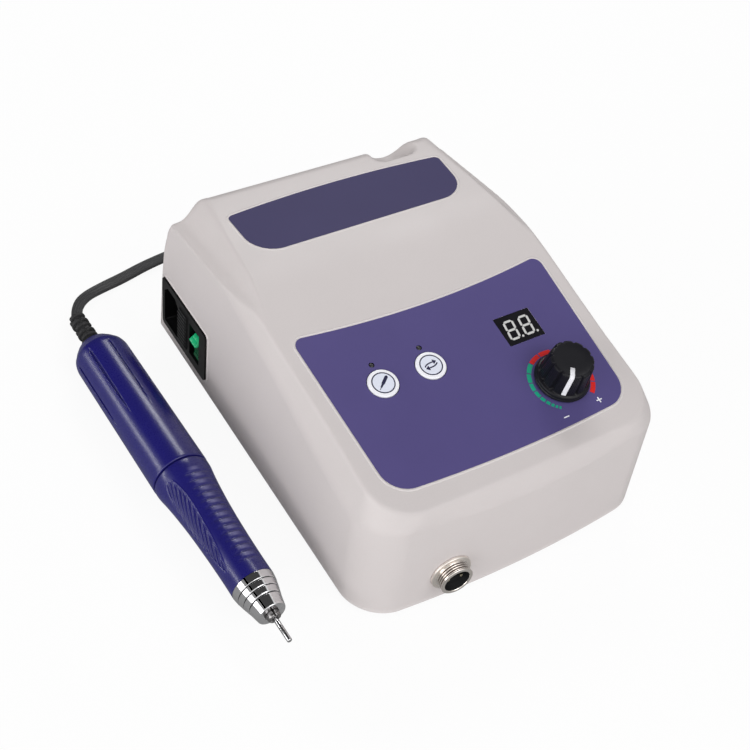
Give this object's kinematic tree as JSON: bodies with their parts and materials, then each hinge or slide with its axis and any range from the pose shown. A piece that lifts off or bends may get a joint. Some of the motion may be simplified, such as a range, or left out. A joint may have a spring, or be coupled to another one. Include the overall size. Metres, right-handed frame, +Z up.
{
  "type": "micromotor control unit",
  "caption": "Bench micromotor unit: sloping control box with speed knob, two buttons and display, straight handpiece on a flat cord, fused mains inlet and threaded front socket.",
  "frame": {"origin": "on the bench under the middle of the box and the handpiece together, the free cord left out", "axes": "+Z up, +X to the right of the user, who sits toward -Y; the handpiece points toward the user along the left side of the box"},
  "size_m": [0.2341, 0.2986, 0.0935],
  "materials": {
    "shell_plastic": "fine satin texture",
    "coated_steel": "zinc grey",
    "black_rubber": "matte",
    "zinc_steel": "zinc plated",
    "label_film": "satin printed film",
    "white_plastic": "smooth",
    "black_plastic": "moulded",
    "knob_gloss": "glossy",
    "lamp_lens": "clear red",
    "window_glass": "smoked",
    "board_laminate": "laminate",
    "contact_brass": "bright",
    "green_plastic": "translucent green",
    "nickel_plate": "nickel plated",
    "core_steel": "laminated",
    "copper": "enamelled wire",
    "turned_aluminium": "turned",
    "navy_lacquer": "satin lacquer",
    "bright_chrome": "polished",
    "tool_steel": "ground",
    "dark_magnet": "sintered",
    "tie_nylon": "smooth"
  },
  "bodies": {
    "root": {"base_plate": "coated_steel", "button_switches": "black_plastic", "capacitors": "black_plastic", "carbon_brushes": "dark_magnet", "case_screws": "zinc_steel", "coil_tie": "tie_nylon", "control_board": "board_laminate", "control_label": "label_film", "cord_coil": "black_rubber", "cord_lead": "black_rubber", "cord_plug": "black_plastic", "cord_tail": "black_rubber", "display_module": "black_plastic", "display_window": "window_glass", "heat_sink": "turned_aluminium", "indicator_leds": "lamp_lens", "inlet_housing": "black_plastic", "inlet_pins": "contact_brass", "motor_bearings": "tool_steel", "motor_can": "core_steel", "motor_magnets": "dark_magnet", "pot_nut": "zinc_steel", "power_board": "board_laminate", "rear_housing": "navy_lacquer", "rubber_feet": "black_rubber", "small_screws": "zinc_steel", "socket_insert": "black_plastic", "socket_nut": "nickel_plate", "socket_pins": "contact_brass", "socket_shell": "nickel_plate", "speed_pot": "black_plastic", "spindle_bearings": "tool_steel", "spindle_sleeve": "turned_aluminium", "tail_boot": "black_rubber", "top_label": "label_film", "transformer_clamp": "coated_steel", "transformer_coil": "copper", "transformer_core": "core_steel", "upper_shell": "shell_plastic"},
    "knob": {"speed_knob": "knob_gloss", "knob_pointer": "white_plastic", "pot_shaft": "zinc_steel"},
    "start": {"start_button": "white_plastic", "start_plunger": "black_plastic"},
    "direction": {"direction_button": "white_plastic", "direction_plunger": "black_plastic"},
    "rocker": {"power_rocker": "green_plastic"},
    "drawer": {"fuse_drawer": "black_plastic", "fuse": "contact_brass"},
    "rotor": {"rotor_shaft": "tool_steel", "armature": "core_steel", "commutator": "copper", "drive_coupling": "black_plastic", "spindle": "tool_steel", "collet": "tool_steel", "bur": "tool_steel"},
    "grip": {"grip_sleeve": "navy_lacquer", "nose_cone": "bright_chrome"},
    "ring": {"plug_ring": "nickel_plate"}
  },
  "joints": [
    {"name": "speed_turn", "type": "hinge", "parent": "root", "child": "knob", "pos_m": [0.0659, -0.07246, 0.072], "axis": [0, 0.203, -0.9792], "range_deg": [0, 284]},
    {"name": "start_press", "type": "slide", "parent": "root", "child": "start", "axis": [0, 0.203, -0.9792], "range_m": [0, 0.0008], "stiffness_N_per_m": 600, "springref_m": -0.0006},
    {"name": "direction_press", "type": "slide", "parent": "root", "child": "direction", "axis": [0, 0.203, -0.9792], "range_m": [0, 0.0008], "stiffness_N_per_m": 600, "springref_m": -0.0006},
    {"name": "power_tip", "type": "hinge", "parent": "root", "child": "rocker", "pos_m": [-0.05156, 0.06138, 0.02532], "axis": [0, 1, 0], "range_deg": [0, 18]},
    {"name": "fuse_slide", "type": "slide", "parent": "root", "child": "drawer", "axis": [-0.9997, 0, 0.0232], "range_m": [0, 0.018]},
    {"name": "spindle_spin", "type": "hinge", "parent": "root", "child": "rotor", "pos_m": [-0.0948, 0.09468, 0.0141], "axis": [0.0314, -0.9995, 0], "continuous": true},
    {"name": "chuck_turn", "type": "hinge", "parent": "root", "child": "grip", "pos_m": [-0.0948, 0.09468, 0.0141], "axis": [0.0314, -0.9995, 0], "range_deg": [0, 40]},
    {"name": "ring_turn", "type": "hinge", "parent": "root", "child": "ring", "pos_m": [0.042, 0.1271, 0.0096], "axis": [-1, 0, 0], "continuous": true}
  ]
}
